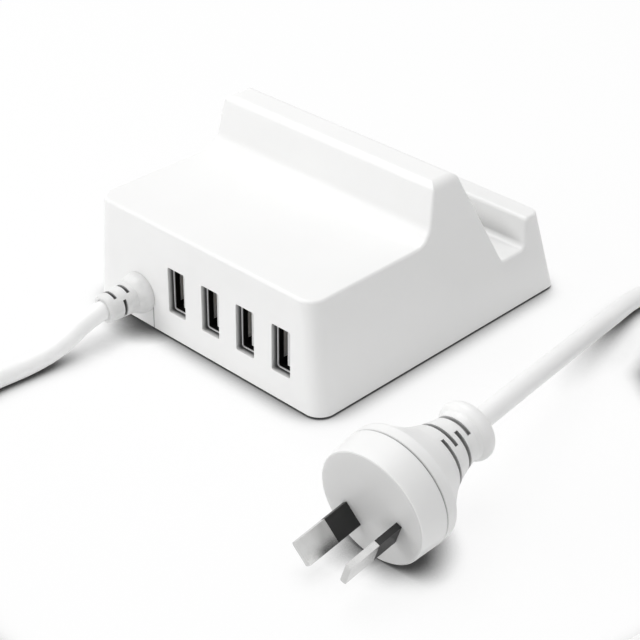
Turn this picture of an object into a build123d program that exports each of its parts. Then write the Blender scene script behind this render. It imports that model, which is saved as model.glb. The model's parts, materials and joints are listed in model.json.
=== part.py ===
"""Desktop USB charger with a phone slot, four upright ports, a mains lead and a two-pin plug.

Millimetres, +Z up. The ports face -Y, the phone slot is at +Y, and the origin is on the table
under the middle of the case.
"""
from build123d import *
import os
from math import cos, hypot, pi, radians, sin, tan

os.makedirs("parts", exist_ok=True)

# Case: heights are above its underside
case_length = 89.6
case_depth = 98.4
deck_height = 33.4
ridge_height = 49.0
slot_floor_height = 16.5
lip_height = 25.6
lip_thickness = 6.5
lip_inner_lean = 0.7
slot_width = 9.9
backrest_angle = 61.0
ridge_top_width = 9.2
ridge_front_lean = 3.0
end_draft = 5.6
port_draft = 0.3
lip_draft = 15.5
wall = 2.2
corner_radius = 5.0
back_corner_radius = 3.4
rim_round = 0.9
ridge_foot_round = 5.5
ridge_top_round = 2.2
ridge_end_round = 3.0
slot_round = 1.7
lip_round = 1.3

# Base cover, feet and screws
foot_height = 0.8
foot_radius = 4.5
foot_recess = 0.8
foot_round = 0.5
foot_inset_x = 20.0
foot_inset_y = 10.0
cover_thickness = 2.4
cover_gap = 0.15
boss_radius = 3.2
boss_inset_x = 7.4
boss_inset_port = 11.2
boss_inset_lip = 14.0
screw_radius = 1.3
screw_length = 9.0
screw_head_radius = 2.6
screw_head_height = 1.2
screw_head_round = 0.4
screw_recess_width = 0.8
screw_gap = 0.1
counterbore_depth = 1.3

# USB-A ports
port_count = 4
first_port_offset = 15.2
last_port_gap = 0.8
port_height = 15.1
window_width = 6.8
window_height = 14.0
window_round = 0.6
shell_width = 5.72
shell_height = 13.14
shell_length = 13.5
shell_sheet = 0.3
shell_bend = 0.7
shell_setback = 1.6
tongue_thickness = 1.84
tongue_width = 11.1
tongue_offset = 0.85
tongue_setback = 1.0
tongue_round = 0.2
insulator_block = 4.0
insulator_gap = 0.03
contact_width = 1.0
contact_thickness = 0.25
contact_setback = 0.8
contact_tail = 0.5
contact_places = (-3.5, -1.0, 1.0, 3.5)
contact_tail_step = 1.0

# Main board and what stands on it
board_thickness = 1.6
board_side_gap = 2.6
board_front_gap = 0.9
board_back_gap = 7.5
lead_bay_depth = 13.0
post_radius = 2.6
post_inset = 4.0
board_screw_radius = 1.1
board_screw_head_radius = 2.3
board_screw_head_height = 1.6
board_screw_length = 5.0
lead_radius = 0.95
lead_spacing = 2.6
lead_socket = 1.0
lead_rise = 4.0
lead_bend = 4.0
lead_landing = 2.2
usb_side_margin = 0.3
part_round = 0.8
can_groove = 0.5
can_groove_place = 2.6
can_score = 0.4
bulk_inset = 25.0
bulk_place = -7.5
bulk_spacing = 14.0
bulk_radius = 6.2
bulk_height = 19.0
x_cap_inset = 12.0
x_cap_place = -4.0
x_cap_size = (6.0, 13.0)
x_cap_height = 11.0
bridge_inset = 4.0
bridge_place = 0.5
bridge_size = (4.0, 14.0)
bridge_height = 10.5
fuse_offset = 8.35
fuse_place = 5.0
fuse_radius = 4.0
fuse_height = 7.6
choke_inset = 9.6
choke_place = 13.8
choke_outer = 6.6
choke_inner = 3.4
choke_height = 5.0
choke_cover = 0.9
choke_span = 130.0
transformer_x = 9.7
transformer_y = -2.0
bobbin_half = 8.0
bobbin_foot = 3.6
bobbin_flange = 1.0
bobbin_wall = 0.8
winding_height = 9.0
winding_depth = 17.0
winding_inset = 0.6
winding_round = 2.0
core_leg = 4.6
core_window = 6.0
core_yoke = 2.6
core_depth = 5.4
core_gap = 0.1
tab_width = 10.0
tab_height = 15.6
tab_body = 9.0
tab_sheet = 1.3
tab_thickness = 4.4
tab_lead = 0.8
tab_lead_height = 3.5
tab_lead_pitch = 2.54
tab_hole = 1.8
tab_hole_drop = 3.0
sink_width = 20.0
sink_height = 14.0
sink_plate = 1.2
sink_fins = 5
sink_fin_pitch = 4.6
sink_fin = 2.6
primary_sink_x = -18.3
primary_sink_y = 11.5
secondary_sink_x = 28.9
secondary_sink_y = 5.0
output_cap_count = 3
output_cap_inset = 6.0
output_cap_pitch = 11.0
output_cap_place = 9.4
output_cap_radius = 4.9
output_cap_height = 15.0
opto_x = -4.8
opto_y = -22.5
opto_size = (4.6, 6.4)
opto_height = 3.5
y_cap_x = -2.8
y_cap_y = 13.0
y_cap_size = (8.0, 4.0)
y_cap_height = 8.0
y_cap_round = 1.6

# Cord strain relief
boot_inset = 20.1
boot_height = 9.4
boot_neck_radius = 5.1
boot_flange_radius = 5.9
boot_flange_edge = 0.7
boot_barrel_radius = 4.45
boot_end_radius = 4.1
boot_end_round = 1.0
boot_length = 13.6
boot_dome_length = 4.2
boot_inner_flange = 2.0
boot_inner_radius = 6.2
boot_slot_width = 1.0
boot_slot_depth = 1.5
boot_slot_rows = 3
boot_slot_span = 72.0
boot_slot_pitch = 2.2
boot_first_slot = 6.4
notch_gap = 0.1

# Cord, with its route as points on its centre line
cord_radius = 2.75
cord_socket = 3.0
cord_gap = 0.05
cord_run_out = 4.0
cord_run_in = 7.0
cord_lead_route = [
    (-25.5, -76.8, 4.4), (-26.4, -87.0, 2.75), (-27.6, -98.0, 2.75),
    (-27.2, -109.0, 2.75), (-23.0, -120.2, 2.75), (-15.5, -129.5, 2.75), (-2.0, -138.1, 2.75),
    (13.2, -146.0, 2.75), (27.7, -152.8, 2.75), (39.2, -157.6, 2.75), (51.7, -159.8, 2.75),
    (64.1, -157.9, 2.75), (75.1, -152.0, 2.75), (86.8, -141.4, 2.75), (101.7, -126.4, 2.75),
    (117.2, -111.2, 2.75), (131.7, -95.8, 2.75), (144.3, -81.5, 2.75), (151.9, -66.5, 2.75),
    (154.1, -50.5, 2.75), (154.3, -32.5, 2.75), (154.2, -14.5, 4.0), (154.1, 3.5, 7.4),
]
cord_end_route = [
    (81.4, 79.3, 3.6), (73.8, 72.5, 3.2), (69.1, 63.4, 2.9), (68.0, 53.3, 3.0),
    (70.0, 43.7, 4.2), (74.0, 26.3, 7.6), (80.3, 2.1, 13.0), (85.8, -20.3, 17.6),
]

# Coil of the spare cord and its tie
coil_x = 120.9
coil_y = 49.9
coil_base = 1.2
coil_inner_turn = 22.0
coil_outer_turn = 33.0
coil_layers = 2
coil_stub = 19.8
coil_run = 10.2
coil_skin = 0.2
coil_edge_round = 2.5
tie_angle = 215.0
tie_width = 9.0
tie_thickness = 0.8
tie_gap = 0.1
tie_bow = 0.95

# Plug: lengths run back from its face
plug_x = 89.9
plug_y = -79.4
plug_turn = 1.0
plug_tilt = 6.5
plug_roll = -10.0
plug_face_radius = 15.2
plug_edge_round = 0.4
plug_rim_radius = 15.8
plug_groove_place = 8.2
plug_groove = 0.6
plug_rim_end = 12.0
plug_rim_round = 1.2
plug_shoulder_radius = 10.2
plug_shoulder_place = 18.6
plug_neck_radius = 6.5
plug_neck_end = 30.6
plug_collar_radius = 8.0
plug_collar_round = 1.2
plug_collar_place = 33.2
plug_length = 36.0
plug_slot_rows = 4
plug_first_slot = 20.8
plug_slot_pitch = 2.85
plug_slot_width = 1.3
plug_slot_floor = 5.4
plug_slot_span = 112.0
pin_circle = 7.92
pin_angle = 30.0
pin_width = 6.35
pin_thickness = 1.63
pin_length = 17.06
pin_root = 5.0
pin_tip_chamfer = 0.4
sleeve_length = 7.4
sleeve_wall = 0.2

# Places worked out from the sizes above
half_depth = case_depth / 2
case_top = foot_height + ridge_height
cover_top = foot_height + cover_thickness
lip_out_y = half_depth - lip_height * tan(radians(lip_draft))
lip_in_y = lip_out_y - lip_thickness
slot_back_y = lip_in_y - lip_inner_lean
slot_front_y = slot_back_y - slot_width
ridge_back_y = slot_front_y - (ridge_height - slot_floor_height) / tan(radians(backrest_angle))
ridge_front_y = ridge_back_y - ridge_top_width
deck_back_y = ridge_front_y - ridge_front_lean
reach = case_length + case_depth


def end_x(height, inset):
    """Half length of the case at a height above the table, drawn in by inset."""
    slope = tan(radians(end_draft))
    return case_length / 2 - (height - foot_height) * slope - inset * hypot(1, slope)


def port_y(height, inset):
    """Y of the port face at a height above the table, drawn in by inset."""
    slope = tan(radians(port_draft))
    return -half_depth + (height - foot_height) * slope + inset * hypot(1, slope)


def lip_y(height, inset):
    """Y of the lip's outer face at a height above the table, drawn in by inset."""
    slope = tan(radians(lip_draft))
    return half_depth - (height - foot_height) * slope - inset * hypot(1, slope)


def tapered_block(inset, low, high):
    """Block with the case's four drafted sides and rounded corners, drawn in by inset."""
    with BuildPart() as block:
        for height in (low, high):
            front = port_y(height, inset)
            back = lip_y(height, inset)
            with BuildSketch(Plane.XY.offset(height)) as level:
                with Locations((0, (front + back) / 2)):
                    Rectangle(2 * end_x(height, inset), back - front)
                fillet(level.vertices().group_by(Axis.Y)[0], radius=corner_radius - inset / 2)
                fillet(level.vertices().group_by(Axis.Y)[-1], radius=back_corner_radius - inset / 2)
        loft(ruled=True)
    return block.part


def top_contour(inset):
    """Side view of the case's upper surfaces, drawn in by inset and open beyond its ends."""
    corners = [
        (-reach, -reach),
        (-reach, deck_height),
        (deck_back_y, deck_height),
        (ridge_front_y, ridge_height),
        (ridge_back_y, ridge_height),
        (slot_front_y, slot_floor_height),
        (slot_back_y, slot_floor_height),
        (lip_in_y, lip_height),
        (reach, lip_height),
        (reach, -reach),
    ]
    rounds = [
        lip_round,
        lip_round,
        ridge_foot_round,
        ridge_top_round,
        ridge_top_round,
        slot_round,
        slot_round,
        lip_round,
        lip_round,
        lip_round,
    ]
    with BuildSketch(Plane.YZ) as contour:
        with BuildLine():
            FilletPolyline(*[(y, z + foot_height) for y, z in corners], radius=rounds, close=True)
        make_face()
        if inset > 0:
            offset(amount=-inset, kind=Kind.INTERSECTION, mode=Mode.REPLACE)
    return contour.sketch


def case_form(inset):
    """The whole case as a solid, drawn in by inset."""
    with BuildPart() as form:
        add(tapered_block(inset, foot_height, case_top))
        extrude(top_contour(inset), amount=reach, both=True, mode=Mode.INTERSECT)
    return form.part


def turned(plane, about_y=0.0, about_z=0.0):
    """The plane turned about its own Y or Z axis, in degrees."""
    return Plane(plane.location * Rotation(0, about_y, about_z))


def finish(builder, label):
    """Names a finished piece and writes it."""
    builder.part.label = label
    export_step(builder.part, f"parts/{label}.step")


# Boss, foot and post places
boss_x = end_x(foot_height, 0) - boss_inset_x
boss_places = [
    (side * boss_x, y)
    for side in (-1, 1)
    for y in (port_y(foot_height, 0) + boss_inset_port, lip_y(foot_height, 0) - boss_inset_lip)
]
foot_x = end_x(foot_height, 0) - foot_inset_x
foot_y = half_depth - foot_inset_y
foot_places = [(side * foot_x, end * foot_y) for side in (-1, 1) for end in (-1, 1)]
boot_x = boot_inset - end_x(foot_height, 0)
first_port_x = boot_x + first_port_offset
last_port_x = boss_x - boss_radius - last_port_gap - shell_width / 2
port_pitch = (last_port_x - first_port_x) / (port_count - 1)
port_places = [first_port_x + port_pitch * i for i in range(port_count)]
port_z = foot_height + port_height
board_top = port_z - shell_height / 2
board_low = board_top - board_thickness
boot_z = foot_height + boot_height
boot_face_y = port_y(boot_z - boot_flange_radius, 0)
boot_axis = Axis((boot_x, boot_face_y, boot_z), (0, -1, 0))
notch_radius = boot_neck_radius + notch_gap

# Upper housing, with the ridge's upper ends rounded
ridge_end = end_x(case_top, 0)
ridge_end_run = ridge_end_round * tan(radians(90 - end_draft) / 2)
ridge_end_low = case_top - ridge_end_run * cos(radians(end_draft))
case_outer = case_form(0)
case_inner = case_form(wall)
with BuildPart() as upper_housing:
    add(case_outer)
    rim = upper_housing.edges().filter_by(lambda e: e.bounding_box().min.Z > cover_top + corner_radius)
    creases = rim.filter_by(Axis.X)
    inner_creases = creases.filter_by(lambda e: port_y(case_top, 1) < e.center().Y < lip_in_y + lip_round)
    fillet(rim - inner_creases, radius=rim_round)
    for side in (-1, 1):
        with BuildSketch(Plane.XZ):
            with BuildLine():
                Polyline(
                    (side * (ridge_end - ridge_end_run), case_top),
                    (side * (ridge_end - ridge_end_run), case_top + ridge_end_round),
                    (side * (ridge_end + ridge_end_round), case_top + ridge_end_round),
                    (side * (ridge_end + ridge_end_round), ridge_end_low),
                    (side * end_x(ridge_end_low, 0), ridge_end_low),
                )
                TangentArc(
                    (side * (ridge_end - ridge_end_run), case_top),
                    (side * end_x(ridge_end_low, 0), ridge_end_low),
                    tangent=(side, 0),
                )
            make_face()
        extrude(amount=reach, both=True, mode=Mode.SUBTRACT)
    add(case_inner, mode=Mode.SUBTRACT)
    with BuildSketch(Plane.XY.offset(cover_top)):
        with Locations(boss_places):
            Circle(boss_radius)
    extrude(until=Until.NEXT)
    with BuildSketch(Plane.XY.offset(cover_top)):
        with Locations(boss_places):
            Circle(screw_radius + screw_gap)
    extrude(amount=screw_length + screw_gap - cover_thickness + counterbore_depth, mode=Mode.SUBTRACT)
    with BuildSketch(Plane.XZ.offset(half_depth + wall)):
        with Locations([(x, port_z) for x in port_places]):
            RectangleRounded(window_width, window_height, window_round)
        with Locations((boot_x, boot_z)):
            Circle(notch_radius)
        with Locations((boot_x, 0)):
            Rectangle(2 * notch_radius, boot_z, align=(Align.CENTER, Align.MIN))
    extrude(amount=-4 * wall, mode=Mode.SUBTRACT)
finish(upper_housing, "upper_housing")

# Base cover with the upright tongue that closes the cord notch, foot recesses, screw holes and posts
inner_wall_y = port_y(boot_z + boot_inner_radius, wall)
board_half = end_x(board_top, wall) - board_side_gap
board_front = port_y(board_low, wall) + board_front_gap
board_back = slot_front_y - board_back_gap
bay_back = board_front + lead_bay_depth
bay_side = first_port_x - shell_width / 2
usb_side = last_port_x + shell_width / 2 + usb_side_margin
post_x = board_half - post_inset
post_places = [(side * post_x, y) for side in (-1, 1) for y in (bay_back + post_inset, board_back - post_inset)]
with BuildPart() as base_cover:
    add(tapered_block(wall + cover_gap, foot_height, cover_top))
    with BuildSketch(Plane.XY.offset(foot_height)):
        with Locations((boot_x, -half_depth)):
            Rectangle(2 * (notch_radius - notch_gap), 3 * wall)
    extrude(amount=boot_height)
    add(tapered_block(0, foot_height, case_top), mode=Mode.INTERSECT)
    with BuildSketch(Plane.XZ.offset(half_depth + wall)):
        with Locations((boot_x, boot_z)):
            Circle(notch_radius)
    extrude(amount=-4 * wall, mode=Mode.SUBTRACT)
    with BuildSketch(Plane.XZ.offset(-inner_wall_y)):
        with Locations((boot_x, boot_z)):
            Circle(boot_inner_radius + notch_gap)
    extrude(amount=-2 * wall, mode=Mode.SUBTRACT)
    with BuildSketch(Plane.XY.offset(cover_top)):
        with Locations(post_places):
            Circle(post_radius)
    extrude(amount=board_low - cover_top)
    with BuildSketch(Plane.XY.offset(board_low)):
        with Locations(post_places):
            Circle(board_screw_radius + screw_gap)
    extrude(amount=board_thickness - board_screw_length - screw_gap, mode=Mode.SUBTRACT)
    with BuildSketch(Plane.XY.offset(foot_height)):
        with Locations(foot_places):
            Circle(foot_radius + screw_gap)
    extrude(amount=foot_recess, mode=Mode.SUBTRACT)
    with BuildSketch(Plane.XY.offset(foot_height)):
        with Locations(boss_places):
            Circle(screw_head_radius + 2 * screw_gap)
    extrude(amount=counterbore_depth, mode=Mode.SUBTRACT)
    with BuildSketch(Plane.XY.offset(foot_height)):
        with Locations(boss_places):
            Circle(screw_radius + screw_gap)
    extrude(amount=cover_thickness, mode=Mode.SUBTRACT)
finish(base_cover, "base_cover")

# Rubber feet, seated in the cover's recesses
for i, (x, y) in enumerate(foot_places):
    with BuildPart() as foot:
        with BuildSketch(Plane.XY.offset(foot_height + foot_recess)):
            with Locations((x, y)):
                Circle(foot_radius)
        extrude(amount=-foot_height - foot_recess)
        fillet(foot.edges().sort_by(Axis.Z)[0], radius=foot_round)
    finish(foot, f"rubber_foot_{i + 1}")

# Case screws, driven up through the cover into the housing's bosses
screw_seat = foot_height + counterbore_depth
with BuildPart() as case_screws:
    with BuildSketch(Plane.XY.offset(screw_seat)):
        with Locations(boss_places):
            Circle(screw_head_radius)
    extrude(amount=-screw_head_height)
    fillet(case_screws.edges().group_by(Axis.Z)[0], radius=screw_head_round)
    with BuildSketch(Plane.XY.offset(screw_seat)):
        with Locations(boss_places):
            Circle(screw_radius)
    extrude(amount=screw_length)
    with BuildSketch(Plane.XY.offset(screw_seat - screw_head_height)):
        with Locations(boss_places):
            Rectangle(2 * screw_radius, screw_recess_width)
            Rectangle(screw_recess_width, 2 * screw_radius)
    extrude(amount=screw_head_height / 2, mode=Mode.SUBTRACT)
finish(case_screws, "case_screws")


def cut_ring_slot(plane, place, width, floor, middle, span):
    """Cuts a slot part way round the plane's Y axis, at a place along it and centred on an angle."""
    with BuildSketch(turned(plane, about_y=middle - span / 2)) as band:
        with Locations((floor, place)):
            Rectangle(floor, width, align=(Align.MIN, Align.CENTER))
    revolve(band.sketch, axis=Axis(plane.origin, plane.y_dir), revolution_arc=span, mode=Mode.SUBTRACT)


# Cord strain relief: inner flange, neck in the notch, domed outer flange and slotted barrel
boot_plane = Plane(origin=(boot_x, boot_face_y, boot_z), x_dir=(1, 0, 0), z_dir=(0, 0, 1))
boot_inner = inner_wall_y - boot_face_y
boot_back = boot_inner + boot_inner_flange
with BuildPart() as cord_boot:
    with BuildSketch(boot_plane):
        with BuildLine():
            Polyline(
                (0, -boot_length),
                (0, boot_back),
                (boot_inner_radius, boot_back),
                (boot_inner_radius, boot_inner),
                (boot_neck_radius, boot_inner),
                (boot_neck_radius, 0),
                (boot_flange_radius, 0),
                (boot_flange_radius, -boot_flange_edge),
            )
            TangentArc(
                (boot_flange_radius, -boot_flange_edge),
                (boot_barrel_radius, -boot_dome_length),
                tangent=(0, -1),
            )
            Line((boot_barrel_radius, -boot_dome_length), (boot_end_radius, boot_end_round - boot_length))
            TangentArc(
                (boot_end_radius, boot_end_round - boot_length),
                (boot_end_radius - boot_end_round, -boot_length),
                tangent=(0, -1),
            )
            Line((boot_end_radius - boot_end_round, -boot_length), (0, -boot_length))
        make_face()
    revolve(axis=Axis(boot_plane.origin, boot_plane.y_dir))
    for row in range(boot_slot_rows):
        for side in (0, 180):
            cut_ring_slot(
                boot_plane,
                -boot_first_slot - row * boot_slot_pitch,
                boot_slot_width,
                boot_barrel_radius - boot_slot_depth,
                side + 90 * (row + 1),
                boot_slot_span,
            )
    with BuildSketch(Plane.XZ.offset(boot_length - boot_face_y)):
        with Locations((boot_x, boot_z)):
            Circle(cord_radius + cord_gap)
    extrude(amount=-cord_socket, mode=Mode.SUBTRACT)
    with BuildSketch(Plane.XZ.offset(-boot_face_y - boot_back)):
        with Locations((boot_x, boot_z)):
            with GridLocations(lead_spacing, 0, 2, 1):
                Circle(lead_radius + cord_gap)
    extrude(amount=lead_socket, mode=Mode.SUBTRACT)
finish(cord_boot, "cord_boot")


def tube_along(route, radius, label):
    """Round tube along straight runs and tangent arcs, each arc as large as its runs allow."""
    points = [Vector(*point) for point in route]
    rounds = []
    for before, corner, after in zip(points, points[1:], points[2:]):
        turn = radians((corner - before).get_angle(after - corner))
        shorter = min((corner - before).length, (after - corner).length)
        rounds.append(0.45 * shorter / tan(turn / 2))
    with BuildPart() as tube:
        with BuildLine():
            run = FilletPolyline(*points, radius=rounds)
        with BuildSketch(Plane(origin=run @ 0, z_dir=run % 0)):
            Circle(radius)
        sweep(path=run)
    length = run.length
    section = pi * radius**2
    print(f"{label}: {length:.1f} long, volume over section x length {tube.part.volume / section / length:.4f}")
    print("  radii", [round(r, 1) for r in rounds])
    return tube


# Cord: the stretch to the coil, the coil's outer form and the stretch to the plug
boot_end_y = boot_face_y - boot_length
cord_start = (boot_x, boot_end_y + cord_socket, boot_z)
coil_low = coil_base + cord_radius
coil_high = coil_low + 2 * cord_radius * (coil_layers - 1)
coil_top = coil_high + cord_radius
coil_entry = (coil_x + coil_outer_turn, coil_y - coil_stub, coil_high)
coil_leave = (coil_x - coil_stub, coil_y + coil_outer_turn, coil_low)
plug_place = Vector(plug_x, plug_y, plug_face_radius * cos(radians(plug_tilt)))
plug_back = Vector(
    -sin(radians(plug_turn)) * cos(radians(plug_tilt)),
    cos(radians(plug_turn)) * cos(radians(plug_tilt)),
    sin(radians(plug_tilt)),
)
cord_stop = plug_place + plug_back * (plug_length - cord_socket)
cord_leaves = (boot_x, boot_end_y - cord_run_out, boot_z)
cord_arrives = plug_place + plug_back * (plug_length + cord_run_in)
coil_before = (coil_x + coil_outer_turn, coil_y - coil_stub - coil_run, coil_high)
coil_after = (coil_x - coil_stub - coil_run, coil_y + coil_outer_turn, coil_low)
lead_points = [cord_start, cord_leaves, *cord_lead_route, coil_before, coil_entry]
cord_lead = tube_along(lead_points, cord_radius, "cord_lead")
finish(cord_lead, "cord_lead")
end_points = [coil_leave, coil_after, *cord_end_route, cord_arrives, cord_stop]
cord_end = tube_along(end_points, cord_radius, "cord_end")
finish(cord_end, "cord_end")

with BuildPart() as cord_coil:
    with BuildSketch(Plane(origin=(coil_x, coil_y, 0), x_dir=(1, 0, 0), z_dir=(0, -1, 0))):
        with Locations(((coil_inner_turn + coil_outer_turn) / 2, (coil_base + coil_top) / 2)):
            RectangleRounded(
                coil_outer_turn - coil_inner_turn + 2 * (cord_radius + coil_skin),
                coil_top - coil_base + 2 * coil_skin,
                coil_edge_round,
            )
    revolve(axis=Axis((coil_x, coil_y, 0), (0, 0, 1)))
    with BuildSketch(Plane(origin=coil_entry, z_dir=(0, 1, 0))):
        Circle(cord_radius)
    extrude(amount=coil_stub)
    with BuildSketch(Plane(origin=coil_leave, z_dir=(1, 0, 0))):
        Circle(cord_radius)
    extrude(amount=coil_stub)
finish(cord_coil, "cord_coil")

# Tie wrapped once round the coil
tie_plane = turned(Plane(origin=(coil_x, coil_y, 0), z_dir=(0, 0, 1)), about_z=tie_angle)
tie_section = Plane(origin=tie_plane.origin, x_dir=tie_plane.x_dir, z_dir=-tie_plane.y_dir)
tie_wide = coil_outer_turn - coil_inner_turn + 2 * (cord_radius + tie_bow)
tie_high = coil_top - coil_base + 2 * coil_skin
with BuildPart() as coil_tie:
    with BuildSketch(tie_section):
        with Locations(((coil_inner_turn + coil_outer_turn) / 2, (coil_base + coil_top) / 2)):
            RectangleRounded(
                tie_wide + 2 * tie_thickness, tie_high + 2 * (tie_thickness + tie_gap), coil_edge_round + tie_thickness
            )
            RectangleRounded(tie_wide, tie_high + 2 * tie_gap, coil_edge_round, mode=Mode.SUBTRACT)
    extrude(amount=tie_width / 2, both=True)
finish(coil_tie, "coil_tie")

# Plug body: flat face, groove behind the disc, slotted neck and end collar
plug_level = Plane(
    origin=plug_place,
    x_dir=(cos(radians(plug_turn)), sin(radians(plug_turn)), 0),
    z_dir=plug_back,
)
plug_plane = turned(plug_level, about_z=plug_roll)
plug_section = Plane(origin=plug_place, x_dir=plug_plane.x_dir, z_dir=-plug_plane.y_dir)
pin_turns = (pin_angle, 180 - pin_angle)
with BuildPart() as plug_body:
    with BuildSketch(plug_section):
        with BuildLine():
            Polyline(
                (0, plug_length),
                (0, 0),
                (plug_face_radius - plug_edge_round, 0),
                (plug_face_radius, plug_edge_round),
                (plug_rim_radius, plug_groove_place - plug_groove / 2),
                (plug_rim_radius - plug_groove, plug_groove_place),
                (plug_rim_radius, plug_groove_place + plug_groove / 2),
                (plug_rim_radius, plug_rim_end - plug_rim_round),
            )
            TangentArc(
                (plug_rim_radius, plug_rim_end - plug_rim_round),
                (plug_rim_radius - plug_rim_round, plug_rim_end),
                tangent=(0, 1),
            )
            shoulder = TangentArc(
                (plug_neck_radius, plug_neck_end),
                (plug_shoulder_radius, plug_shoulder_place),
                tangent=(0.12, -1),
            )
            Line((plug_shoulder_radius, plug_shoulder_place), (plug_rim_radius - plug_rim_round, plug_rim_end))
            Polyline(
                (plug_neck_radius, plug_neck_end),
                (plug_collar_radius - plug_collar_round, plug_collar_place - plug_collar_round),
            )
            ThreePointArc(
                (plug_collar_radius - plug_collar_round, plug_collar_place - plug_collar_round),
                (plug_collar_radius, plug_collar_place + plug_collar_round / 2),
                (plug_collar_radius - plug_collar_round, plug_length),
            )
            Line((plug_collar_radius - plug_collar_round, plug_length), (0, plug_length))
        make_face()
    revolve(axis=Axis(plug_place, plug_back))
    for row in range(plug_slot_rows):
        for side in (0, 180):
            cut_ring_slot(
                plug_section,
                plug_first_slot + row * plug_slot_pitch,
                plug_slot_width,
                plug_slot_floor,
                side + 90 * row,
                plug_slot_span,
            )
    with BuildSketch(plug_plane.offset(plug_length)):
        Circle(cord_radius + cord_gap)
    extrude(amount=-cord_socket, mode=Mode.SUBTRACT)
    with BuildSketch(plug_plane):
        for turn in pin_turns:
            with PolarLocations(pin_circle, 1, start_angle=turn):
                Rectangle(pin_thickness, pin_width)
    extrude(amount=pin_root, mode=Mode.SUBTRACT)
finish(plug_body, "plug_body")

# Flat pins with insulating sleeves over the half next to the face
for name, turn in zip(("live", "neutral"), pin_turns):
    with BuildPart() as pin:
        with BuildSketch(plug_plane.offset(-sleeve_length)):
            with PolarLocations(pin_circle, 1, start_angle=turn):
                Rectangle(pin_thickness, pin_width)
        extrude(amount=sleeve_length - pin_length)
        tip = pin.faces().sort_by(Axis(plug_place, plug_back))[0]
        chamfer(tip.edges(), length=pin_tip_chamfer)
        with BuildSketch(plug_plane.offset(-sleeve_length)):
            with PolarLocations(pin_circle, 1, start_angle=turn):
                Rectangle(pin_thickness - 2 * sleeve_wall, pin_width - 2 * sleeve_wall)
        extrude(amount=sleeve_length)
        with BuildSketch(plug_plane):
            with PolarLocations(pin_circle, 1, start_angle=turn):
                Rectangle(pin_thickness, pin_width)
        extrude(amount=pin_root)
    finish(pin, f"{name}_pin")
    with BuildPart() as sleeve:
        with BuildSketch(plug_plane):
            with PolarLocations(pin_circle, 1, start_angle=turn):
                Rectangle(pin_thickness, pin_width)
                Rectangle(pin_thickness - 2 * sleeve_wall, pin_width - 2 * sleeve_wall, mode=Mode.SUBTRACT)
        extrude(amount=-sleeve_length)
    finish(sleeve, f"{name}_pin_sleeve")

# USB-A receptacles: sheet shell, insulator with its tongue, and four contacts with tails to the board
shell_front = port_y(port_z, 0) + shell_setback
shell_back = shell_front + shell_length
inner_width = shell_width - 2 * shell_sheet
inner_height = shell_height - 2 * shell_sheet
tongue_front = shell_front + tongue_setback
block_front = shell_back - insulator_block
contact_x = tongue_offset - tongue_thickness / 2 - contact_thickness
for i, x in enumerate(port_places):
    with BuildPart() as shell:
        with BuildSketch(Plane.XZ.offset(-shell_front)):
            with Locations((x, port_z)):
                RectangleRounded(shell_width, shell_height, shell_bend)
                RectangleRounded(inner_width, inner_height, shell_bend - shell_sheet, mode=Mode.SUBTRACT)
        extrude(amount=-shell_length)
    finish(shell, f"usb_shell_{i + 1}")
    with BuildPart() as contacts:
        for row, place in enumerate(contact_places):
            tail_y = shell_back + row * contact_tail_step
            with BuildSketch(Plane.XY.offset(port_z + place - contact_width / 2)):
                with Locations((x + contact_x, tongue_front + contact_setback)):
                    Rectangle(
                        contact_thickness, tail_y - tongue_front, align=(Align.MIN, Align.MIN)
                    )
            extrude(amount=contact_width)
            with BuildSketch(Plane.XY.offset(board_top)):
                with Locations((x + contact_x, tail_y + contact_setback)):
                    Rectangle(contact_thickness, contact_tail, align=(Align.MIN, Align.MAX))
            extrude(amount=port_z + place + contact_width / 2 - board_top)
    finish(contacts, f"usb_contacts_{i + 1}")
    with BuildPart() as insulator:
        with BuildSketch(Plane.XZ.offset(-block_front)):
            with Locations((x, port_z)):
                RectangleRounded(
                    inner_width - 2 * insulator_gap,
                    inner_height - 2 * insulator_gap,
                    shell_bend - shell_sheet,
                )
        extrude(amount=-insulator_block)
        with BuildSketch(Plane.XZ.offset(-tongue_front)):
            with Locations((x + tongue_offset, port_z)):
                RectangleRounded(tongue_thickness, tongue_width, tongue_round)
        extrude(amount=tongue_front - block_front)
        add(contacts.part, mode=Mode.SUBTRACT)
    finish(insulator, f"usb_insulator_{i + 1}")

# Main board, with a bay for the strain relief and holes for its screws
with BuildPart() as main_board:
    with BuildSketch(Plane.XY.offset(board_low)):
        with BuildLine():
            Polyline(
                (-board_half, board_back),
                (-board_half, bay_back),
                (bay_side, bay_back),
                (bay_side, board_front),
                (usb_side, board_front),
                (usb_side, bay_back),
                (board_half, bay_back),
                (board_half, board_back),
                close=True,
            )
        make_face()
        with Locations(post_places):
            Circle(board_screw_radius + screw_gap, mode=Mode.SUBTRACT)
    extrude(amount=board_thickness)
finish(main_board, "main_board")

with BuildPart() as board_screws:
    with BuildSketch(Plane.XY.offset(board_top)):
        with Locations(post_places):
            Circle(board_screw_head_radius)
    extrude(amount=board_screw_head_height)
    fillet(board_screws.edges().group_by(Axis.Z)[-1], radius=screw_head_round)
    with BuildSketch(Plane.XY.offset(board_top)):
        with Locations(post_places):
            Circle(board_screw_radius)
    extrude(amount=-board_screw_length)
finish(board_screws, "board_screws")


def on_board(label, x, y, sketch_size, height, round_by, lift=0.0):
    """Rounded block standing on the board, or lifted off it."""
    with BuildPart() as block:
        with BuildSketch(Plane.XY.offset(board_top + lift)):
            with Locations((x, y)):
                RectangleRounded(*sketch_size, round_by)
        extrude(amount=height)
        fillet(block.edges().group_by(Axis.Z)[-1], radius=round_by / 2)
    finish(block, label)


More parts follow.
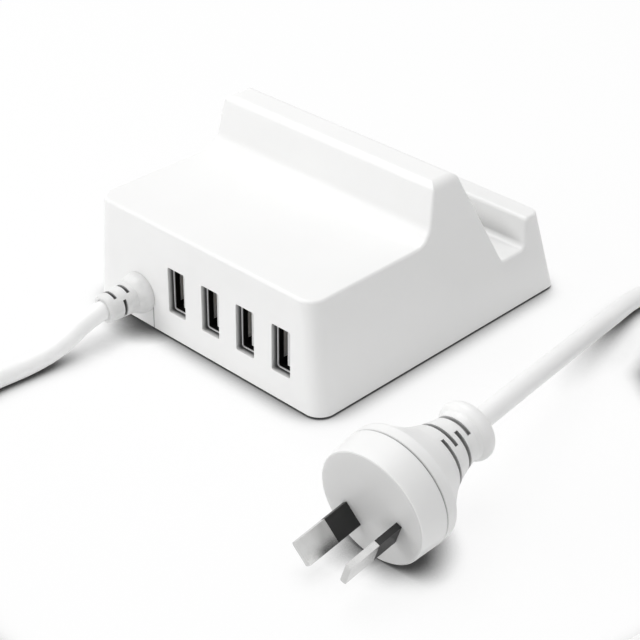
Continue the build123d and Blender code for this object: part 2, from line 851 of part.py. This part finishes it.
def can_on_board(label, x, y, radius, height):
    """Electrolytic capacitor: rubber-sealed can with a rolled groove and a pressed top."""
    with BuildPart() as can:
        with BuildSketch(Plane(origin=(x, y, board_top), x_dir=(1, 0, 0), z_dir=(0, -1, 0))):
            with BuildLine():
                Polyline(
                    (0, 0),
                    (radius, 0),
                    (radius, can_groove_place - can_groove),
                    (radius - can_groove, can_groove_place),
                    (radius, can_groove_place + can_groove),
                    (radius, height - can_groove),
                    (radius - can_groove, height),
                    (0, height),
                    close=True,
                )
            make_face()
        revolve(axis=Axis((x, y, 0), (0, 0, 1)))
        with BuildSketch(Plane.XY.offset(board_top + height)):
            with Locations((x, y)):
                Rectangle(2 * radius - 4 * can_groove, can_score)
                Rectangle(can_score, 2 * radius - 4 * can_groove)
        extrude(amount=-can_score, mode=Mode.SUBTRACT)
    finish(can, label)


# Mains side, along the -X edge of the board
mains_x = -board_half
can_on_board("bulk_capacitor_1", mains_x + bulk_inset, bulk_place - bulk_spacing / 2, bulk_radius, bulk_height)
can_on_board("bulk_capacitor_2", mains_x + bulk_inset, bulk_place + bulk_spacing / 2, bulk_radius, bulk_height)
on_board("x_capacitor", mains_x + x_cap_inset, x_cap_place, x_cap_size, x_cap_height, part_round)
on_board("bridge_rectifier", mains_x + bridge_inset, bridge_place, bridge_size, bridge_height, part_round)
with BuildPart() as mains_fuse:
    with BuildSketch(Plane.XY.offset(board_top)):
        with Locations((boot_x + fuse_offset, bay_back + fuse_place)):
            Circle(fuse_radius)
    extrude(amount=fuse_height)
    fillet(mains_fuse.edges().group_by(Axis.Z)[-1], radius=part_round)
finish(mains_fuse, "mains_fuse")

# Common-mode choke: a ring core standing on its two windings
choke_x = mains_x + choke_inset
choke_y = bay_back + choke_place
choke_mid = board_top + choke_cover + choke_height / 2
with BuildPart() as choke_core:
    with BuildSketch(Plane.XY.offset(choke_mid - choke_height / 2)):
        with Locations((choke_x, choke_y)):
            Circle(choke_outer)
            Circle(choke_inner, mode=Mode.SUBTRACT)
    extrude(amount=choke_height)
finish(choke_core, "choke_core")
with BuildPart() as choke_windings:
    for side in (0, 180):
        start = Plane(origin=(choke_x, choke_y, choke_mid), x_dir=(1, 0, 0), z_dir=(0, -1, 0))
        with BuildSketch(turned(start, about_y=side - choke_span / 2)):
            with Locations(((choke_outer + choke_inner) / 2, 0)):
                RectangleRounded(
                    choke_outer - choke_inner + 2 * choke_cover, choke_height + 2 * choke_cover, choke_cover
                )
        revolve(axis=Axis(start.origin, start.y_dir), revolution_arc=choke_span)
    add(choke_core.part, mode=Mode.SUBTRACT)
finish(choke_windings, "choke_windings")

# Transformer: bobbin, winding and a two-part ferrite core joined as one
transformer_z = board_top + bobbin_foot + winding_height / 2 + bobbin_flange
core_long = 2 * (bobbin_half + core_leg + core_gap)
with BuildPart() as transformer_bobbin:
    with BuildSketch(Plane.XY.offset(board_top)):
        with Locations((transformer_x, transformer_y)):
            Rectangle(2 * bobbin_half, winding_depth)
    extrude(amount=bobbin_foot)
    with BuildSketch(Plane.XY.offset(board_top + bobbin_foot)):
        with Locations((transformer_x, transformer_y)):
            Rectangle(2 * bobbin_half, winding_depth)
    extrude(amount=bobbin_flange)
    with BuildSketch(Plane.XY.offset(transformer_z + winding_height / 2)):
        with Locations((transformer_x, transformer_y)):
            Rectangle(2 * bobbin_half, winding_depth)
    extrude(amount=bobbin_flange)
    with BuildSketch(Plane.XY.offset(transformer_z - winding_height / 2)):
        with Locations((transformer_x, transformer_y)):
            Rectangle(core_leg + 2 * bobbin_wall, core_depth + 2 * bobbin_wall)
    extrude(amount=winding_height)
    with BuildSketch(Plane.XY.offset(board_top + bobbin_foot)):
        with Locations((transformer_x, transformer_y)):
            Rectangle(core_leg + 2 * core_gap, core_depth + 2 * core_gap)
    extrude(amount=winding_height + 2 * bobbin_flange, mode=Mode.SUBTRACT)
    with BuildSketch(Plane.XY.offset(board_top + bobbin_foot)):
        with Locations((transformer_x, transformer_y)):
            Rectangle(2 * bobbin_half, core_depth + 2 * core_gap)
    extrude(amount=-core_yoke - core_gap, mode=Mode.SUBTRACT)
finish(transformer_bobbin, "transformer_bobbin")
with BuildPart() as transformer_winding:
    with BuildSketch(Plane.XY.offset(transformer_z - winding_height / 2)):
        with Locations((transformer_x, transformer_y)):
            RectangleRounded(2 * (bobbin_half - winding_inset), winding_depth - 2 * winding_inset, winding_round)
            Rectangle(core_leg + 2 * bobbin_wall, core_depth + 2 * bobbin_wall, mode=Mode.SUBTRACT)
    extrude(amount=winding_height)
finish(transformer_winding, "transformer_winding")
core_low = board_top + bobbin_foot - core_yoke
core_high = transformer_z + winding_height / 2 + bobbin_flange + core_gap
with BuildPart() as transformer_core:
    with BuildSketch(Plane.XZ.offset(core_depth / 2 - transformer_y)):
        with Locations((transformer_x, core_low)):
            Rectangle(core_long, core_high + core_yoke - core_low, align=(Align.CENTER, Align.MIN))
        for side in (-1, 1):
            with Locations((transformer_x + side * (core_leg / 2 + core_window / 2), core_low + core_yoke)):
                Rectangle(
                    core_window,
                    core_high - core_low - core_yoke,
                    align=(Align.CENTER, Align.MIN),
                    mode=Mode.SUBTRACT,
                )
    extrude(amount=-core_depth)
finish(transformer_core, "transformer_core")


def power_tab(label, x, y, facing):
    """Three-lead power device standing on the board, its metal tab's back at y, facing +Y or -Y."""
    plane = Plane(origin=(x, y, board_top), x_dir=(-facing, 0, 0), z_dir=(0, facing, 0))
    with BuildPart() as device:
        with BuildSketch(plane):
            with Locations((0, tab_lead_height)):
                Rectangle(tab_width, tab_height, align=(Align.CENTER, Align.MIN))
            with Locations((0, tab_lead_height + tab_height - tab_hole_drop)):
                Circle(tab_hole, mode=Mode.SUBTRACT)
        extrude(amount=tab_sheet)
        with BuildSketch(plane):
            with Locations((0, tab_lead_height)):
                Rectangle(tab_width, tab_body, align=(Align.CENTER, Align.MIN))
        extrude(amount=tab_thickness)
        with BuildSketch(plane.offset(tab_sheet + tab_lead)):
            with GridLocations(tab_lead_pitch, 0, 3, 1):
                Rectangle(tab_lead, tab_lead_height, align=(Align.CENTER, Align.MIN))
        extrude(amount=tab_lead)
    finish(device, label)


def heat_sink(label, x, y, facing):
    """Finned plate standing on the board behind a power device."""
    plane = Plane(origin=(x, y, board_top), x_dir=(-facing, 0, 0), z_dir=(0, facing, 0))
    with BuildPart() as sink:
        with BuildSketch(plane):
            Rectangle(sink_width, sink_height, align=(Align.CENTER, Align.MIN))
        extrude(amount=-sink_plate)
        with BuildSketch(plane.offset(-sink_plate)):
            with GridLocations(sink_fin_pitch, 0, sink_fins, 1):
                Rectangle(sink_plate, sink_height, align=(Align.CENTER, Align.MIN))
        extrude(amount=-sink_fin)
    finish(sink, label)


# Power devices, each flat against its heat sink
heat_sink("primary_heatsink", primary_sink_x, primary_sink_y, -1)
power_tab("switching_transistor", primary_sink_x, primary_sink_y, -1)
heat_sink("secondary_heatsink", secondary_sink_x, secondary_sink_y, -1)
power_tab("output_rectifier", secondary_sink_x, secondary_sink_y, -1)

# Output side, behind the ports
for i in range(output_cap_count):
    can_on_board(
        f"output_capacitor_{i + 1}",
        usb_side - output_cap_inset - i * output_cap_pitch,
        shell_back + output_cap_place,
        output_cap_radius,
        output_cap_height,
    )
on_board("optocoupler", opto_x, opto_y, opto_size, opto_height, part_round)
on_board("y_capacitor", y_cap_x, y_cap_y, y_cap_size, y_cap_height, y_cap_round)

# Mains leads from the strain relief to the board
for name, side in (("live_lead", -1), ("neutral_lead", 1)):
    x = boot_x + side * lead_spacing / 2
    start_y = boot_face_y + boot_back - lead_socket
    lead = tube_along(
        [
            (x, start_y, boot_z),
            (x, start_y + lead_rise, boot_z),
            (x, bay_back + lead_landing - lead_bend, boot_z + lead_rise),
            (x, bay_back + lead_landing, boot_z + lead_rise),
            (x, bay_back + lead_landing, board_top),
        ],
        lead_radius,
        name,
    )
    finish(lead, name)
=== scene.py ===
"""Dresses the desktop USB charger: materials, the lead as one smooth cord, floor, light and camera."""
import json
import math

import bpy
from mathutils import Matrix, Vector


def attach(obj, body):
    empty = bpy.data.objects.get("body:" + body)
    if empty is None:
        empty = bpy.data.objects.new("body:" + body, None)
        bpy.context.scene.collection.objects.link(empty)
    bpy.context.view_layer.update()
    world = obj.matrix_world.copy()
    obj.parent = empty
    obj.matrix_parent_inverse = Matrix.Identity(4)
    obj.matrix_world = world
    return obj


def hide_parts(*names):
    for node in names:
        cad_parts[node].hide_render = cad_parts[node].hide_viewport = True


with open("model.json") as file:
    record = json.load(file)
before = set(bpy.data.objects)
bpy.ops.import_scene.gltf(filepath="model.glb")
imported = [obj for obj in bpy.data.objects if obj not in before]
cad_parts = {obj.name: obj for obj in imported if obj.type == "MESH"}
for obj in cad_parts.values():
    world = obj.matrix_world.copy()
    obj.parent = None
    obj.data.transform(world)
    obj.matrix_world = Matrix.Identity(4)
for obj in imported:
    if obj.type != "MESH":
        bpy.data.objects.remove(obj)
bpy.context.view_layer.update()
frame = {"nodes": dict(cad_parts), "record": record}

scene = bpy.context.scene
nodes = frame["nodes"]
MM = 0.001


# Shader nodes that several materials share

def math_node(tree, operation, *values):
    """One arithmetic node, with numbers or other nodes' outputs as its inputs."""
    node = tree.nodes.new("ShaderNodeMath")
    node.operation = operation
    for socket, value in zip(node.inputs, values):
        if isinstance(value, float):
            socket.default_value = value
        else:
            tree.links.new(value, socket)
    return node.outputs["Value"]


def all_of(tree, first, *others):
    """The product of several shares."""
    for other in others:
        first = math_node(tree, "MULTIPLY", first, other)
    return first


def ramp_node(tree, value, start, end, kind="LINEAR"):
    """0 up to the start value, 1 from the end value and a slope between them."""
    span = tree.nodes.new("ShaderNodeMapRange")
    span.interpolation_type = kind
    span.inputs["From Min"].default_value = start
    span.inputs["From Max"].default_value = end
    tree.links.new(value, span.inputs["Value"])
    return span.outputs["Result"]


def tinted(tree, tone, other, share):
    """The tone, changed to another one by a share."""
    mix = tree.nodes.new("ShaderNodeMix")
    mix.data_type = "RGBA"
    tree.links.new(share, mix.inputs["Factor"])
    tree.links.new(tone, mix.inputs["A"])
    mix.inputs["B"].default_value = (*other, 1)
    return mix.outputs["Result"]


def openness(tree, width, low, high, only_local):
    """How open a place is within a width: 0 up to the low share and 1 from the high share."""
    hollow = tree.nodes.new("ShaderNodeAmbientOcclusion")
    hollow.samples = 16
    hollow.only_local = only_local
    hollow.inputs["Distance"].default_value = width
    return ramp_node(tree, hollow.outputs["AO"], low, high, "SMOOTHSTEP")


def axes_of(tree, position):
    """The three coordinates of a position."""
    split = tree.nodes.new("ShaderNodeSeparateXYZ")
    tree.links.new(position, split.inputs["Vector"])
    return split.outputs["X"], split.outputs["Y"], split.outputs["Z"]


def seen_ray(tree):
    """1 for rays that show the background itself or its image in metal or glass, and 0 for the light."""
    ray = tree.nodes.new("ShaderNodeLightPath")
    direct = math_node(tree, "MAXIMUM", ray.outputs["Is Camera Ray"], ray.outputs["Is Glossy Ray"])
    return math_node(tree, "MAXIMUM", direct, ray.outputs["Is Transmission Ray"])


# Painted shade and painted light at known places of the part, which are given in its own frame. A span is
# where a tone starts and where it is full, and a band is a middle and the reach to either side of it.

WINDOW_SPAN_Y = (-49.05 * MM, -47.7 * MM)
WINDOW_BACK_Y = -46.5 * MM
WINDOW_ROW_X = (10.5 * MM, 24.0 * MM)
WINDOW_BAND_Z = (15.9 * MM, 7.6 * MM)
BOOT_X = -24.7 * MM
SEAM_BAND = (5.15 * MM, 0.2 * MM)
SEAM_TOP_Z = 10.2 * MM
SEAM_BACK_Y = -48.8 * MM
SHELL_RIM_SPAN_Y = (-47.4 * MM, -47.1 * MM)
LIT_SPAN_Y = (-45.6 * MM, -45.3 * MM)
LIT_END_SPAN_Y = (-43.4 * MM, -43.7 * MM)
LIT_BAND_Z = (16.3 * MM, 5.0 * MM)
TONGUE_SPAN_Y = (-46.4 * MM, -45.9 * MM)
PLUG_AXIS = (-0.01734, 0.99342, 0.11320)
PLUG_FACE_SPAN = (-78.45 * MM, -78.60 * MM)


def grey(level):
    """An even grey."""
    return (level, level, level)


def case_painted_shade(tree, position, tone):
    """Painted shade on the port windows' walls and along the cover's seam beside the strain relief."""
    x, y, z = axes_of(tree, position)
    window = all_of(
        tree,
        ramp_node(tree, y, *WINDOW_SPAN_Y),
        math_node(tree, "LESS_THAN", y, WINDOW_BACK_Y),
        math_node(tree, "COMPARE", x, *WINDOW_ROW_X),
        math_node(tree, "COMPARE", z, *WINDOW_BAND_Z),
    )
    # Painted shade on the walls of the port windows.
    tone = tinted(tree, tone, grey(0.12), window)
    from_boot = math_node(tree, "ABSOLUTE", math_node(tree, "SUBTRACT", x, BOOT_X))
    seam = all_of(
        tree,
        math_node(tree, "COMPARE", from_boot, *SEAM_BAND),
        math_node(tree, "LESS_THAN", z, SEAM_TOP_Z),
        math_node(tree, "LESS_THAN", y, SEAM_BACK_Y),
    )
    # Painted shade along the narrow seam gap of the cover.
    return tinted(tree, tone, grey(0.42), seam)


def shell_painted_shade(tree, position, tone):
    """Bright front edge of a receptacle's shell, painted shade behind it, and a painted light band on its
    inner walls.
    """
    _, y, z = axes_of(tree, position)
    lit = all_of(
        tree,
        ramp_node(tree, y, *LIT_SPAN_Y),
        ramp_node(tree, y, *LIT_END_SPAN_Y),
        math_node(tree, "COMPARE", z, *LIT_BAND_Z),
    )
    behind = ramp_node(tree, y, *SHELL_RIM_SPAN_Y)
    # Painted shade behind the rim, except on the painted light band.
    dark = math_node(tree, "MULTIPLY", behind, math_node(tree, "SUBTRACT", 1.0, lit))
    return tinted(tree, tone, grey(0.006), dark)


def tongue_painted_shade(tree, position, tone):
    """Grey front of a receptacle's tongue, with painted shade behind it."""
    _, y, _ = axes_of(tree, position)
    return tinted(tree, tone, grey(0.02), ramp_node(tree, y, *TONGUE_SPAN_Y))


def plug_face_painted_shade(tree, position, tone):
    """Painted shade on the plug's flat face, as a darker grey there."""
    along = tree.nodes.new("ShaderNodeVectorMath")
    along.operation = "DOT_PRODUCT"
    along.inputs[1].default_value = PLUG_AXIS
    tree.links.new(position, along.inputs[0])
    face = ramp_node(tree, along.outputs["Value"], *PLUG_FACE_SPAN)
    return tinted(tree, tone, (0.70, 0.70, 0.695), face)


# Materials

PATCH_SPAN = (0.35, 0.65)
PATCH_DETAIL = 4.0
PATCH_FADE = 0.96
GRAIN_DETAIL = 3.0
GRAIN_DEPTH = 0.1 * MM
COAT_ROUGHNESS = 0.12
SUBSURFACE_DEPTH = 3 * MM


def surface(name, colour, other, patch, roughness, grain, bump,
            metallic=0.0, coat=0.0, stretch=(1, 1, 1), marks=None, hollow_shade=None, subsurface=0.0):
    """Two close tones in soft patches, with a roughness and a fine grain that vary over the surface.

    Without a second tone it is a little darker than the first. Marks add painted shade and painted light at
    known places. Painted shade for narrow hollows is given as a tone, how wide they are, and from which
    to which share of open sky they are shaded.
    """
    material = bpy.data.materials.new(name)
    material.use_nodes = True
    tree = material.node_tree
    shader = tree.nodes["Principled BSDF"]
    place = tree.nodes.new("ShaderNodeTexCoord")
    mapping = tree.nodes.new("ShaderNodeMapping")
    mapping.inputs["Scale"].default_value = stretch
    tree.links.new(place.outputs["Object"], mapping.inputs["Vector"])

    patches = tree.nodes.new("ShaderNodeTexNoise")
    patches.inputs["Scale"].default_value = patch
    patches.inputs["Detail"].default_value = PATCH_DETAIL
    tree.links.new(mapping.outputs["Vector"], patches.inputs["Vector"])
    ramp = tree.nodes.new("ShaderNodeValToRGB")
    first, second = ramp.color_ramp.elements
    first.position, second.position = PATCH_SPAN
    first.color = (*colour, 1)
    second.color = (*(other or tuple(PATCH_FADE * c for c in colour)), 1)
    tree.links.new(patches.outputs["Fac"], ramp.inputs["Fac"])
    tone = ramp.outputs["Color"]
    # Marks paint shade and light at known places.
    if marks:
        tone = marks(tree, place.outputs["Object"], tone)
    # Painted shade in narrow hollows, from ambient occlusion.
    if hollow_shade:
        dark, width, low, high = hollow_shade
        shut = math_node(tree, "SUBTRACT", 1.0, openness(tree, width, low, high, True))
        tone = tinted(tree, tone, dark, shut)
    tree.links.new(tone, shader.inputs["Base Color"])

    fine = tree.nodes.new("ShaderNodeTexNoise")
    fine.inputs["Scale"].default_value = grain
    fine.inputs["Detail"].default_value = GRAIN_DETAIL
    tree.links.new(mapping.outputs["Vector"], fine.inputs["Vector"])
    span = tree.nodes.new("ShaderNodeMapRange")
    span.inputs["To Min"].default_value = roughness[0]
    span.inputs["To Max"].default_value = roughness[1]
    tree.links.new(fine.outputs["Fac"], span.inputs["Value"])
    tree.links.new(span.outputs["Result"], shader.inputs["Roughness"])
    relief = tree.nodes.new("ShaderNodeBump")
    relief.inputs["Strength"].default_value = bump
    relief.inputs["Distance"].default_value = GRAIN_DEPTH
    tree.links.new(fine.outputs["Fac"], relief.inputs["Height"])
    tree.links.new(relief.outputs["Normal"], shader.inputs["Normal"])

    shader.inputs["Metallic"].default_value = metallic
    shader.inputs["Coat Weight"].default_value = coat
    shader.inputs["Coat Roughness"].default_value = COAT_ROUGHNESS
    shader.inputs["Subsurface Weight"].default_value = subsurface
    shader.inputs["Subsurface Scale"].default_value = SUBSURFACE_DEPTH
    shader.inputs["Subsurface Radius"].default_value = (1, 1, 1)
    return material


# The case, boot and plug have painted shade in their hollows; the case, shells, tongues and plug face also
# carry painted shade and light at known places.
looks = {
    "case_plastic": surface(
        "case_white", (0.92, 0.92, 0.915), (0.905, 0.905, 0.90), 35, (0.28, 0.38), 2600, 0.03,
        coat=0.12, marks=case_painted_shade, hollow_shade=(grey(0.25), 14.0 * MM, 0.25, 0.72)),
    "foot_rubber": surface(
        "foot_rubber", (0.030, 0.030, 0.032), None, 90, (0.75, 0.9), 1500, 0.3),
    "screw_steel": surface(
        "screw_steel", (0.60, 0.60, 0.61), None, 200, (0.3, 0.42), 1800, 0.1, metallic=1.0),
    "boot_plastic": surface(
        "boot_white", (0.81, 0.81, 0.805), (0.74, 0.74, 0.735), 420, (0.4, 0.55), 2200, 0.1,
        hollow_shade=(grey(0.12), 2.0 * MM, 0.2, 0.75), subsurface=0.35),
    "cord_plastic": surface(
        "cord_white", (0.95, 0.95, 0.945), (0.93, 0.93, 0.925), 60, (0.36, 0.48), 1800, 0.06,
        subsurface=0.35),
    "tie_plastic": surface(
        "tie_black", grey(0.02), None, 150, (0.4, 0.55), 1500, 0.1),
    "plug_plastic": surface(
        "plug_white", (0.90, 0.90, 0.895), (0.88, 0.88, 0.875), 60, (0.34, 0.46), 2200, 0.05,
        marks=plug_face_painted_shade, hollow_shade=(grey(0.30), 2.5 * MM, 0.2, 0.7), subsurface=0.35),
    "pin_metal": surface(
        "pin_nickel", (0.66, 0.66, 0.655), (0.58, 0.58, 0.575), 160, (0.16, 0.28), 500, 0.04,
        metallic=1.0, stretch=(0.15, 1, 1)),
    "sleeve_plastic": surface(
        "sleeve_black", grey(0.006), grey(0.010), 200, (0.4, 0.5), 1800, 0.05),
    "shell_steel": surface(
        "shell_tin", (0.95, 0.95, 0.96), (0.91, 0.91, 0.92), 150, (0.4, 0.55), 700, 0.05,
        metallic=0.6, marks=shell_painted_shade),
    "contact_brass": surface(
        "contact_gilt", (0.80, 0.55, 0.22), None, 200, (0.2, 0.3), 900, 0.05, metallic=1.0),
    "insulator_plastic": surface(
        "insulator_grey", grey(0.72), grey(0.66), 150, (0.4, 0.5), 1800, 0.05, marks=tongue_painted_shade),
    "board_laminate": surface(
        "board_green", (0.012, 0.10, 0.035), (0.02, 0.14, 0.05), 180, (0.3, 0.4), 1200, 0.1),
    "can_sleeve": surface(
        "can_black", (0.012, 0.014, 0.02), None, 120, (0.2, 0.3), 800, 0.04, coat=0.3),
    "film_case": surface(
        "film_yellow", (0.62, 0.36, 0.02), None, 120, (0.35, 0.45), 1200, 0.06),
    "disc_coating": surface(
        "disc_blue", (0.01, 0.06, 0.28), None, 160, (0.2, 0.32), 700, 0.15, coat=0.3),
    "epoxy_black": surface(
        "epoxy_black", grey(0.012), None, 200, (0.55, 0.7), 2200, 0.15),
    "fuse_case": surface(
        "fuse_brown", (0.06, 0.018, 0.008), None, 150, (0.35, 0.45), 1200, 0.06),
    "ferrite": surface(
        "ferrite_grey", (0.028, 0.028, 0.03), None, 260, (0.6, 0.75), 1800, 0.25),
    "winding_copper": surface(
        "winding_copper", (0.45, 0.14, 0.04), (0.36, 0.10, 0.03), 220, (0.25, 0.4), 900, 0.3,
        metallic=1.0, stretch=(1, 1, 3)),
    "bobbin_plastic": surface(
        "bobbin_black", (0.015, 0.015, 0.016), None, 150, (0.5, 0.6), 1500, 0.08),
    "sink_aluminium": surface(
        "sink_aluminium", (0.72, 0.72, 0.73), None, 120, (0.35, 0.5), 900, 0.08,
        metallic=1.0, stretch=(1, 1, 0.1)),
    "wire_brown": surface(
        "wire_brown", (0.09, 0.03, 0.01), None, 150, (0.35, 0.45), 1200, 0.05),
    "wire_blue": surface(
        "wire_blue", (0.01, 0.05, 0.32), None, 150, (0.35, 0.45), 1200, 0.05),
}
for entry in frame["record"]["subparts"]:
    piece = nodes[entry["node"]]
    piece.data.materials.clear()
    piece.data.materials.append(looks[entry["material_slot"]])


# Cord: the route from the strain relief, the turns of its coil, and the route on to the plug, in millimetres

cord_radius = 2.75
lead_route = [
    (-24.7, -59.782, 10.2), (-24.7, -66.782, 10.2),
    (-25.5, -76.8, 4.4), (-26.4, -87.0, 2.75), (-27.6, -98.0, 2.75),
    (-27.2, -109.0, 2.75), (-23.0, -120.2, 2.75), (-15.5, -129.5, 2.75), (-2.0, -138.1, 2.75),
    (13.2, -146.0, 2.75), (27.7, -152.8, 2.75), (39.2, -157.6, 2.75), (51.7, -159.8, 2.75),
    (64.1, -157.9, 2.75), (75.1, -152.0, 2.75), (86.8, -141.4, 2.75), (101.7, -126.4, 2.75),
    (117.2, -111.2, 2.75), (131.7, -95.8, 2.75), (144.3, -81.5, 2.75), (151.9, -66.5, 2.75),
    (154.1, -50.5, 2.75), (154.3, -32.5, 2.75), (154.2, -14.5, 4.0), (154.1, 3.5, 7.4),
    (153.9, 19.9, 9.45), (153.9, 30.1, 9.45),
]
end_route = [
    (101.1, 82.9, 3.95), (90.9, 82.9, 3.95),
    (81.4, 79.3, 3.6), (73.8, 72.5, 3.2), (69.1, 63.4, 2.9), (68.0, 53.3, 3.0),
    (70.0, 43.7, 4.2), (74.0, 26.3, 7.6), (80.3, 2.1, 13.0), (85.8, -20.3, 17.6),
    (89.154, -36.683, 19.970), (89.328, -46.617, 18.838),
]

# Each turn of the coil keeps its radius and height, and moves over to those of the next turn at its end.
# The moves start earlier turn by turn, so that they lie side by side.
coil_middle = (120.9, 49.9)
coil_places = [(33.0, 9.45), (27.5, 9.45), (22.0, 9.45), (22.0, 3.95), (27.5, 3.95), (33.0, 3.95)]
coil_end = 5 * 360 + 90
coil_step = 15
first_move = 300
move_length = 45
coil_points = []
for angle in range(coil_step, coil_end, coil_step):
    turn, part = divmod(angle, 360)
    share = min(max((part - first_move + move_length * turn) / move_length, 0.0), 1.0)
    share = share * share * (3 - 2 * share)
    here, there = coil_places[turn], coil_places[min(turn + 1, len(coil_places) - 1)]
    reach = (here[0] + (there[0] - here[0]) * share) / math.cos(math.radians(coil_step / 2))
    height = here[1] + (there[1] - here[1]) * share
    coil_points.append((
        coil_middle[0] + reach * math.cos(math.radians(angle)),
        coil_middle[1] + reach * math.sin(math.radians(angle)),
        height,
    ))
cord_points = lead_route + coil_points + end_route

cord_data = bpy.data.curves.new("mains_cord", "CURVE")
cord_data.dimensions = "3D"
cord_data.bevel_depth = cord_radius * MM
cord_data.bevel_resolution = 8
cord_data.resolution_u = 6
cord_data.use_fill_caps = True
spline = cord_data.splines.new("NURBS")
spline.points.add(len(cord_points) - 1)
for point, place in zip(spline.points, cord_points):
    point.co = (*(MM * c for c in place), 1.0)
spline.order_u = 3
spline.use_endpoint_u = True
cord = bpy.data.objects.new("mains_cord", cord_data)
scene.collection.objects.link(cord)
cord_data.materials.append(looks["cord_plastic"])
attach(cord, "root")
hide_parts("cord_lead", "cord_coil", "cord_end")


# Floor: pale paper that is white where it is seen, with soft contact shadows under what stands on it, mostly
# painted into the glow and partly real

floor_reach = 4
paper_tone = 0.95
white_share = 0.88
contact_width = 10 * MM
contact_span = (0.3, 0.92)

floor_mesh = bpy.data.meshes.new("floor")
floor_corners = [(floor_reach * x, floor_reach * y, 0) for x, y in ((-1, -1), (1, -1), (1, 1), (-1, 1))]
floor_mesh.from_pydata(floor_corners, [], [(0, 1, 2, 3)])
floor = bpy.data.objects.new("floor", floor_mesh)
scene.collection.objects.link(floor)
paper = bpy.data.materials.new("floor_paper")
paper.use_nodes = True
tree = paper.node_tree
paper_shader = tree.nodes["Principled BSDF"]
paper_shader.inputs["Base Color"].default_value = (*grey(paper_tone), 1)
paper_shader.inputs["Roughness"].default_value = 0.9
paper_shader.inputs["Specular IOR Level"].default_value = 0.0
glow = tree.nodes.new("ShaderNodeEmission")
# Painted contact shadow: the glow dims where ambient occlusion finds things standing close.
tree.links.new(openness(tree, contact_width, *contact_span, False), glow.inputs["Strength"])
blend = tree.nodes.new("ShaderNodeMixShader")
tree.links.new(math_node(tree, "MULTIPLY", seen_ray(tree), white_share), blend.inputs["Fac"])
tree.links.new(paper_shader.outputs["BSDF"], blend.inputs[1])
tree.links.new(glow.outputs["Emission"], blend.inputs[2])
tree.links.new(blend.outputs["Shader"], tree.nodes["Material Output"].inputs["Surface"])
floor_mesh.materials.append(paper)


# Light: an even white room, which is plain white where it is seen, and three soft lamps

room_light = 0.5

world = bpy.data.worlds.new("studio")
scene.world = world
world.use_nodes = True
tree = world.node_tree
air = tree.nodes["Background"]
air.inputs["Color"].default_value = (1, 1, 1, 1)
air.inputs["Strength"].default_value = room_light
seen = tree.nodes.new("ShaderNodeBackground")
seen.inputs["Color"].default_value = (1, 1, 1, 1)
seen.inputs["Strength"].default_value = 1.0
blend = tree.nodes.new("ShaderNodeMixShader")
tree.links.new(seen_ray(tree), blend.inputs["Fac"])
tree.links.new(air.outputs["Background"], blend.inputs[1])
tree.links.new(seen.outputs["Background"], blend.inputs[2])
tree.links.new(blend.outputs["Shader"], tree.nodes["World Output"].inputs["Surface"])


def lamp(name, place, aim, size, power):
    """Soft square lamp at a place, turned towards a point."""
    data = bpy.data.lights.new(name, "AREA")
    data.shape = "SQUARE"
    data.size = size
    data.energy = power
    holder = bpy.data.objects.new(name, data)
    holder.location = place
    holder.rotation_euler = (Vector(aim) - Vector(place)).to_track_quat("-Z", "Y").to_euler()
    scene.collection.objects.link(holder)


lamp("key_above", (-0.25, -0.05, 0.9), (0, 0, 0.02), 0.7, 4.2)
lamp("front_left", (-0.45, -0.8, 0.45), (0, -0.02, 0.02), 0.6, 2.4)
lamp("right_fill", (0.8, -0.5, 0.4), (0.05, -0.03, 0.02), 0.6, 0.3)


# Camera, as fitted to the photograph

eye = Vector((286.607, -299.898, 250.037)) * MM
azimuth = math.radians(44.004)
elevation = math.radians(32.08)
roll = math.radians(0.515)
right = Vector((math.cos(azimuth), math.sin(azimuth), 0))
back = Vector((
    math.sin(azimuth) * math.cos(elevation),
    -math.cos(azimuth) * math.cos(elevation),
    math.sin(elevation),
))
up = back.cross(right)
rolled_right = math.cos(roll) * right + math.sin(roll) * up
rolled_up = -math.sin(roll) * right + math.cos(roll) * up
camera_data = bpy.data.cameras.new("camera")
camera_data.sensor_fit = "HORIZONTAL"
camera_data.sensor_width = 36.0
camera_data.lens = 94.08
camera_data.clip_start = 0.01
camera_data.clip_end = 20.0
camera = bpy.data.objects.new("camera", camera_data)
axes = Matrix((rolled_right, rolled_up, back)).transposed().to_4x4()
camera.matrix_world = Matrix.Translation(eye) @ axes
scene.collection.objects.link(camera)
scene.camera = camera

scene.view_settings.view_transform = "Standard"
